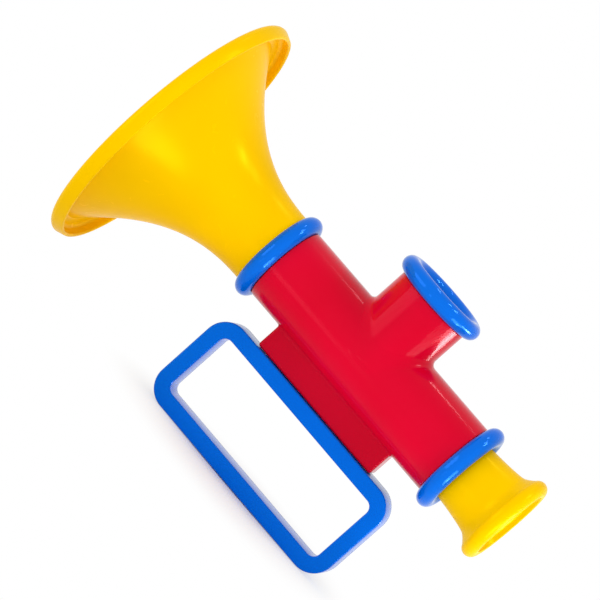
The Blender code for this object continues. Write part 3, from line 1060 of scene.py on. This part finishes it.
@dataclass
class LoopHandle:
    """The flat blue loop: one rounded bar swept round a rounded rectangle, with a tongue for the fin."""

    length: float = 95.6 * MM
    height: float = 41.8 * MM
    thickness: float = 13.0 * MM
    bar: float = 6.3 * MM
    corner: float = 9.5 * MM
    edge: float = 0.8 * MM
    tongue: Trio = (53.4 * MM, 4.4 * MM, 12.15 * MM)
    tongue_top: float = 50.8 * MM
    corner_steps: int = 14
    edge_steps: int = 5

    def tree(self) -> TreeWriter:
        """Writes the tree that sweeps the bar and joins the tongue.

        Returns:
            The tree.
        """
        tree = TreeWriter("loop_handle")
        bar, length, height, corner, thickness, edge = (
            tree.named(name, "Float") for name in ("Bar", "Length", "Height", "Corner", "Thickness", "Edge")
        )
        path = self.rounded(
            tree,
            tree.math("SUBTRACT", length, bar),
            tree.math("SUBTRACT", height, bar),
            tree.math("MULTIPLY_ADD", bar, -0.5, corner),
            self.corner_steps,
        )
        section = self.rounded(tree, bar, thickness, edge, self.edge_steps)
        loop = tree.placed(tree.out("GeometryNodeCurveToMesh", {"Curve": path, "Profile Curve": section}))
        block = tree.out("GeometryNodeMeshCube", {"Size": tree.named("Tongue", "Vector")})
        lift = tree.named("Tongue Place", "Vector")
        tongue = tree.out("GeometryNodeTransform", {"Geometry": block, "Translation": lift})
        both = tree.add("GeometryNodeMeshBoolean", {}, operation="UNION", solver="EXACT")
        for part in (loop, tongue):
            tree.fill(both, {"Mesh 2": part})
        tree.close(both.outputs[0])
        return tree

    @staticmethod
    def rounded(tree: TreeWriter, width: Socket, height: Socket, radius: Socket, steps: int) -> Socket:
        """A rounded rectangle.

        Args:
            tree: the tree that it goes into.
            width: its first side.
            height: its second side.
            radius: the corners' radius.
            steps: the steps in a corner.

        Returns:
            The curve.
        """
        square = tree.out("GeometryNodeCurvePrimitiveQuadrilateral", {"Width": width, "Height": height})
        inputs = {"Curve": square, "Radius": radius, "Count": steps}
        return tree.out("GeometryNodeFilletCurve", inputs, mode="POLY")

    def build(self) -> None:
        """Builds the handle."""
        values = {
            "Finish": HANDLE_BLUE.material(),
            "Bar": self.bar,
            "Length": self.length,
            "Height": self.height,
            "Corner": self.corner,
            "Thickness": self.thickness,
            "Edge": self.edge,
            "Place": (0.0, 0.0, self.height / 2),
            "Turn": (math.pi / 2, 0.0, 0.0),
            "Tongue": self.tongue,
            "Tongue Place": (0.0, 0.0, self.tongue_top - self.tongue[2] / 2),
        }
        handle = smoothed(grown("loop_handle", bpy.data.meshes.new("loop"), self.tree(), values))
        dress(handle, Carrier.TRUMPET, Slot.HANDLE_BLUE, "handle")


@dataclass(frozen=True)
class EasedPart:
    """A piece of the reed unit: the node's own solid with eased edges, and a driver's groove if asked."""

    name: str
    node: str
    finish: Finish
    slot: Slot
    easing: float
    carrier: Carrier = Carrier.TRUMPET
    easing_steps: int = 3
    easing_angle: float = math.radians(28)
    flat_angle: float = math.radians(1)
    groove_width: float = 0.0
    groove_depth: float = 0.4 * MM
    groove_turn: float = 0.0

    def cutter(self) -> bpy.types.Object:
        """Makes the bar that cuts the groove across the top of the head.

        Returns:
            The bar.
        """
        low, high = (Vector(corner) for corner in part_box(self.node))
        middle = (low + high) / 2
        middle.z = high.z
        sides = (2 * (high.x - low.x), self.groove_width, 2 * self.groove_depth, 1.0)
        turn = Matrix.Rotation(self.groove_turn, 4, "Z")
        place = Matrix.Translation(middle) @ turn @ Matrix.Diagonal(sides)
        mesh = bpy.data.meshes.new("groove")
        with edited(mesh) as shape:
            bmesh.ops.create_cube(shape, size=1.0, matrix=place)
        return link("groove", mesh)

    def build(self) -> None:
        """Builds the piece."""
        piece = solid_copy(self.name, self.node, self.flat_angle)
        ease = piece.modifiers.new("Ease", "BEVEL")
        ease.width = self.easing
        ease.segments = self.easing_steps
        ease.limit_method = "ANGLE"
        ease.angle_limit = self.easing_angle
        bar = self.cutter() if self.groove_width else None
        if bar:
            cut = piece.modifiers.new("Groove", "BOOLEAN")
            cut.operation = "DIFFERENCE"
            cut.object = bar
        baked(piece)
        if bar:
            bpy.data.objects.remove(bar)
        piece.data.materials.clear()
        piece.data.materials.append(self.finish.material())
        dress(smoothed(piece), self.carrier, self.slot, self.node)


@dataclass
class ReedUnit:
    """The reed inside the tube: a white plug with a trough, its brass lid and the tongue that sounds."""

    parts: tuple[EasedPart, ...] = (
        EasedPart("air_plug", "reed_holder", WHITE, Slot.WHITE, 0.22 * MM),
        EasedPart("slotted_plate", "reed_plate", BRASS, Slot.BRASS, 0.1 * MM),
        EasedPart("sounding_tongue", "reed_tongue", BRASS, Slot.BRASS, 0.06 * MM, Carrier.REED),
        EasedPart("domed_rivet", "reed_rivet", BRASS, Slot.BRASS, 0.09 * MM),
        EasedPart(
            "front_screw", "plate_screw_front", STEEL, Slot.STEEL, 0.1 * MM,
            groove_width=0.45 * MM, groove_turn=math.radians(25),
        ),
        EasedPart(
            "rear_screw", "plate_screw_rear", STEEL, Slot.STEEL, 0.1 * MM,
            groove_width=0.45 * MM, groove_turn=math.radians(-50),
        ),
    )

    def build(self) -> None:
        """Builds the unit's pieces."""
        for part in self.parts:
            part.build()


@dataclass(frozen=True)
class SoftBox:
    """One lamp of the studio, or a card that shows in gloss alone and adds no other light."""

    name: str
    place: Trio
    size: Point
    power: float
    aim: Trio = (-0.02, 0.0, 0.065)
    gloss_only: bool = False

    def build(self) -> None:
        """Hangs the lamp."""
        lamp = bpy.data.lights.new(self.name, "AREA")
        lamp.shape = "RECTANGLE"
        lamp.size, lamp.size_y = self.size
        lamp.energy = self.power
        obj = bpy.data.objects.new(self.name, lamp)
        obj.location = self.place
        obj.rotation_euler = (Vector(self.aim) - Vector(self.place)).to_track_quat("-Z", "Y").to_euler()
        obj.visible_camera = False
        obj.visible_diffuse = not self.gloss_only
        bpy.context.scene.collection.objects.link(obj)


@dataclass
class Studio:
    """The pale floor, the soft light and the camera."""

    azimuth: float = 8.9
    elevation: float = 6.82
    distance: float = 1.524
    roll: float = 48.28
    aim: Trio = (-0.0339, 0.0, 0.06396)
    focal_pixels: float = 4167.0
    image_pixels: float = 600.0
    sensor: float = 36.0
    ambient: float = 0.62
    key: float = 1.22
    key_focus: float = 3.0
    key_from: Trio = (-0.45, -0.88, 0.13)
    floor_radius: float = 0.11
    floor_segments: int = 96
    floor_gap: float = 0.2 * MM
    floor_colour: Colour = (0.93, 0.93, 0.93)
    fade_from: float = 0.0
    fade_to: float = 0.07
    lamps: tuple[SoftBox, ...] = (
        SoftBox("top_strip", (0.5, -0.06, 1.03), (0.22, 0.09), 1.56),
        SoftBox("upper_strip", (0.27, -0.04, 1.08), (0.22, 0.04), 0.58),
        SoftBox("end_core", (0.66, 0.24, 0.06), (0.2, 0.12), 1.2),
        SoftBox("low_box", (0.67, -0.18, -0.145), (0.4, 0.34), 2.5),
        SoftBox("low_core", (0.69, -0.12, -0.2), (0.1, 0.1), 0.38),
        SoftBox("branch_card", (-0.62, -0.45, 0.05), (0.6, 0.4), 1.4, gloss_only=True),
        SoftBox("tube_card", (-0.19, -0.88, -0.36), (0.08, 0.2), 0.12, gloss_only=True),
        SoftBox("edge_card", (-0.115, 0.19, 1.02), (0.06, 0.12), 0.35, gloss_only=True),
        SoftBox("end_card", (0.66, 0.2, 0.06), (0.46, 0.14), 2.5, gloss_only=True),
    )

    def build(self) -> None:
        """Sets up the whole studio."""
        self.camera()
        self.world()
        self.floor()
        for lamp in self.lamps:
            lamp.build()
        bpy.context.scene.view_settings.view_transform = "Standard"

    def camera(self) -> None:
        """Places the camera at the photograph's angle."""
        lens = bpy.data.cameras.new("camera")
        lens.sensor_width = self.sensor
        lens.sensor_fit = "HORIZONTAL"
        lens.lens = self.focal_pixels / self.image_pixels * self.sensor
        azimuth, elevation, roll = (math.radians(a) for a in (self.azimuth, self.elevation, self.roll))
        flat = math.cos(elevation)
        back = Vector((math.sin(azimuth) * flat, -math.cos(azimuth) * flat, math.sin(elevation)))
        level = (-back).cross(Vector((0, 0, 1))).normalized()
        rise = level.cross(-back)
        right = math.cos(roll) * level + math.sin(roll) * rise
        up = math.cos(roll) * rise - math.sin(roll) * level
        turn = Matrix((right, up, back)).transposed().to_4x4()
        obj = bpy.data.objects.new("camera", lens)
        obj.matrix_world = Matrix.Translation(Vector(self.aim) + self.distance * back) @ turn
        bpy.context.scene.collection.objects.link(obj)
        bpy.context.scene.camera = obj

    @staticmethod
    def seen(write: NodeWriter) -> Socket:
        """Tells rays that show the background from rays that light the object.

        Args:
            write: the writer of the tree that asks.

        Returns:
            One for camera, glossy and transmission rays, else zero.
        """
        path = write.add("ShaderNodeLightPath", {})
        shown = write.math("MAXIMUM", path.outputs["Is Camera Ray"], path.outputs["Is Glossy Ray"])
        return write.math("MAXIMUM", shown, path.outputs["Is Transmission Ray"])

    def world(self) -> None:
        """Lights the scene from all round, more from the key's side, before a white background."""
        world = bpy.data.worlds.new("studio")
        bpy.context.scene.world = world
        world.use_nodes = True
        write = NodeWriter(world.node_tree)
        shade = world.node_tree.nodes["Background"]
        toward = write.add("ShaderNodeTexCoord", {}).outputs["Generated"]
        facing = write.add("ShaderNodeVectorMath", {0: toward, 1: self.key_from}, operation="DOT_PRODUCT")
        lobe = write.math("POWER", write.math("MAXIMUM", facing.outputs["Value"], 0.0), self.key_focus)
        ambient = write.math("MULTIPLY_ADD", lobe, self.key, self.ambient)
        strength = write.ranged(self.seen(write), (0.0, 1.0), ambient, 1.0)
        write.fill(shade, {"Color": (1.0, 1.0, 1.0, 1.0), "Strength": strength})

    def floor(self) -> None:
        """Lays the pale floor, which turns into the white background further out."""
        mesh = bpy.data.meshes.new("floor")
        with edited(mesh) as shape:
            bmesh.ops.create_circle(
                shape, cap_ends=True, segments=self.floor_segments, radius=self.floor_radius
            )
        floor = link("floor", mesh)
        floor.location.z = -self.floor_gap
        material = bpy.data.materials.new("floor_paper")
        material.use_nodes = True
        material.node_tree.nodes.clear()
        write = NodeWriter(material.node_tree)
        paper = write.out("ShaderNodeBsdfDiffuse", {"Color": (*self.floor_colour, 1.0)})
        glow = write.out("ShaderNodeEmission", {"Strength": 1.0})
        where = write.add("ShaderNodeTexCoord", {}).outputs["Object"]
        away = write.add("ShaderNodeVectorMath", {0: where}, operation="LENGTH").outputs["Value"]
        span = {0: away, 1: self.fade_from, 2: self.fade_to}
        fade = write.out("ShaderNodeMapRange", span, interpolation_type="SMOOTHSTEP")
        share = write.math("MULTIPLY", fade, self.seen(write))
        both = write.out("ShaderNodeMixShader", {0: share, 1: paper, 2: glow})
        write.add("ShaderNodeOutputMaterial", {0: both}, is_active_output=True)
        mesh.materials.append(material)


def main() -> None:
    """Builds the studio and the pieces in order."""
    logging.basicConfig(level=logging.INFO, format="%(message)s")
    Studio().build()
    Bell().build()
    Rings().build()
    TeeBody().build()
    Mouthpiece().build()
    LoopHandle().build()
    ReedUnit().build()


if __name__ == "__main__":
    main()
